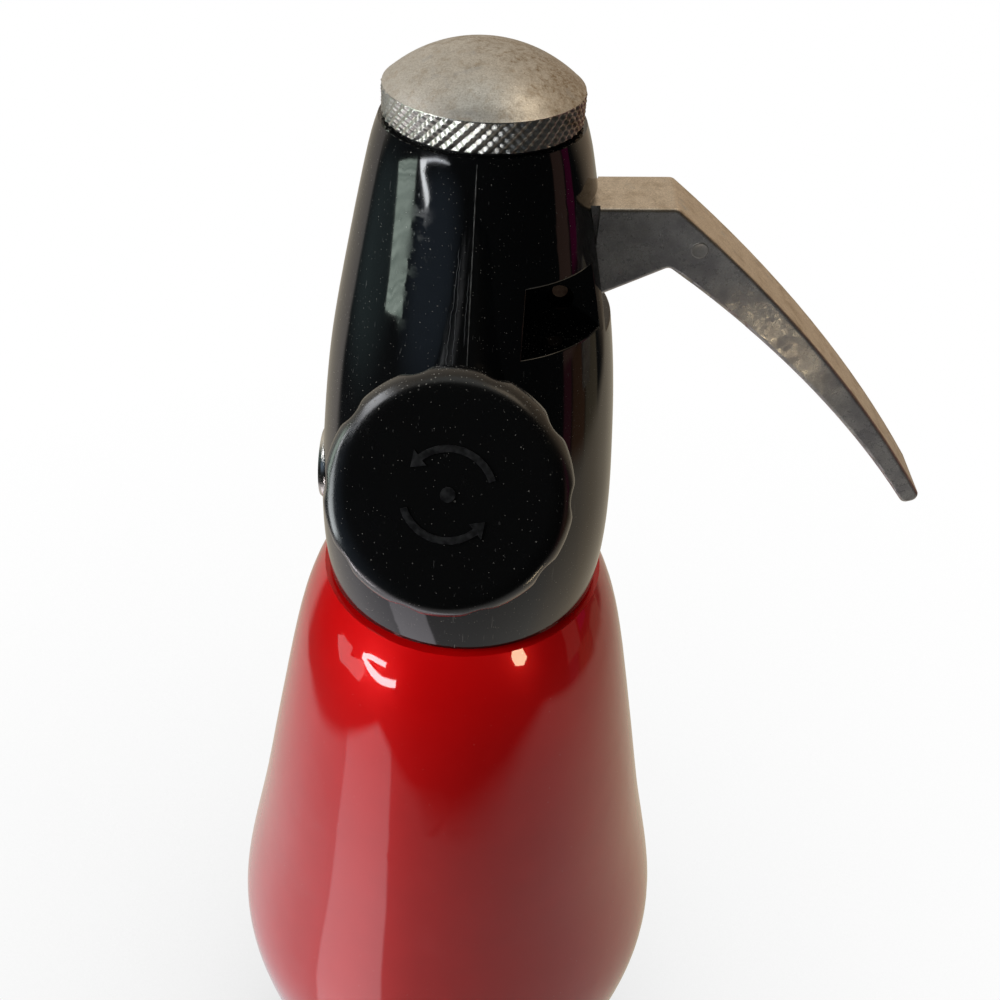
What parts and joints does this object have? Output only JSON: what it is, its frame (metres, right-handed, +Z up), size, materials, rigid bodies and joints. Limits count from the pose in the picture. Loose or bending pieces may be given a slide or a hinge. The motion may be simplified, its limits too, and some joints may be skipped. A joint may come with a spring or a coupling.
{
  "type": "soda siphon",
  "caption": "Soda siphon: waisted metal bottle, tapered black head, bent dispensing lever, inclined gas charger holder with scalloped knob, domed knurled cap.",
  "frame": {"origin": "centre of the foot plane, on the axis of the bottle", "axes": "+Z up along the bottle axis; +X along the lever; -Y towards the charger holder; -X out of the spout socket"},
  "size_m": [0.1377, 0.1284, 0.3157],
  "materials": {
    "bottle_red": "gloss metallic red lacquer over aluminium",
    "bottle_metal": "machined bare aluminium",
    "foot_plastic": "satin moulded plastic",
    "head_plastic": "polished moulded plastic with light handling scratches",
    "knob_plastic": "moulded plastic, slightly softer gloss than the head",
    "valve_brass": "machined, unpolished",
    "tower_brass": "blackened brass",
    "lever_metal": "cast and brushed, worn",
    "cap_metal": "domed top with grey-brown patina, knurled edge",
    "steel": "plain turned steel",
    "spring_steel": "drawn wire",
    "charger_steel": "zinc plated",
    "socket_brass": "nickel plated brass",
    "seal_rubber": "plain black rubber",
    "tube_plastic": "natural white polyethylene"
  },
  "bodies": {
    "bottle": {"bottle": "bottle_red", "neck_ring": "bottle_metal", "foot_ring": "foot_plastic", "measuring_tube": "tube_plastic"},
    "neck_gasket": {"neck_gasket": "seal_rubber"},
    "head": {"head_housing": "head_plastic", "valve_body": "valve_brass", "valve_tower": "tower_brass", "lever_pin": "valve_brass", "valve_seat": "valve_brass", "stem_seal": "seal_rubber", "seal_bush": "valve_brass", "spring_plug": "valve_brass", "outlet_socket": "socket_brass", "outlet_seal": "seal_rubber", "check_valve": "seal_rubber", "riser_nut": "tube_plastic", "riser_gasket": "seal_rubber", "riser_tube": "tube_plastic", "charger_socket": "socket_brass", "piercing_pin": "steel", "charger_gasket": "seal_rubber", "valve_spring": "spring_steel"},
    "lever": {"lever": "lever_metal"},
    "stem": {"valve_stem": "steel", "valve_washer": "seal_rubber", "stem_collar": "valve_brass", "stem_nut": "steel"},
    "charger": {"co2_charger": "charger_steel"},
    "holder": {"charger_holder": "socket_brass", "holder_knob": "knob_plastic"},
    "cap_washer": {"cap_washer": "seal_rubber"},
    "cap": {"top_cap": "cap_metal"}
  },
  "joints": [
    {"name": "head_lift", "type": "slide", "parent": "bottle", "child": "neck_gasket", "axis": [0, 0, 1], "range_m": [0, 0.0075]},
    {"name": "head_turn", "type": "hinge", "parent": "neck_gasket", "child": "head", "pos_m": [0, 0, 0.215], "axis": [0, 0, 1], "range_deg": [0, 902]},
    {"name": "lever_press", "type": "hinge", "parent": "head", "child": "lever", "pos_m": [0.0139, 0, 0.28], "axis": [0, 1, 0], "range_deg": [0, 14], "stiffness_Nm_per_rad": 0.8, "springref_deg": -25.21},
    {"name": "valve_lift", "type": "slide", "parent": "head", "child": "stem", "axis": [0, 0, 1], "range_m": [0, 0.0035], "deforming": ["valve_spring"]},
    {"name": "charger_travel", "type": "slide", "parent": "head", "child": "charger", "axis": [0, -0.8192, 0.5736], "range_m": [0, 0.008]},
    {"name": "holder_turn", "type": "hinge", "parent": "charger", "child": "holder", "pos_m": [0, -0.02457, 0.25651], "axis": [0, -0.8192, 0.5736], "range_deg": [0, 1442]},
    {"name": "cap_lift", "type": "slide", "parent": "head", "child": "cap_washer", "axis": [0, 0, 1], "range_m": [0, 0.0045]},
    {"name": "cap_turn", "type": "hinge", "parent": "cap_washer", "child": "cap", "pos_m": [0, 0, 0.307], "axis": [0, 0, 1], "range_deg": [0, 1082]}
  ],
  "couplings": [
    {"joint": "head_turn", "follows": "head_lift", "rad_per_m": 2094.4},
    {"joint": "valve_lift", "follows": "lever_press", "m_per_rad": 0.0139},
    {"joint": "holder_turn", "follows": "charger_travel", "rad_per_m": 3141.6},
    {"joint": "cap_turn", "follows": "cap_lift", "rad_per_m": 4188.8}
  ]
}
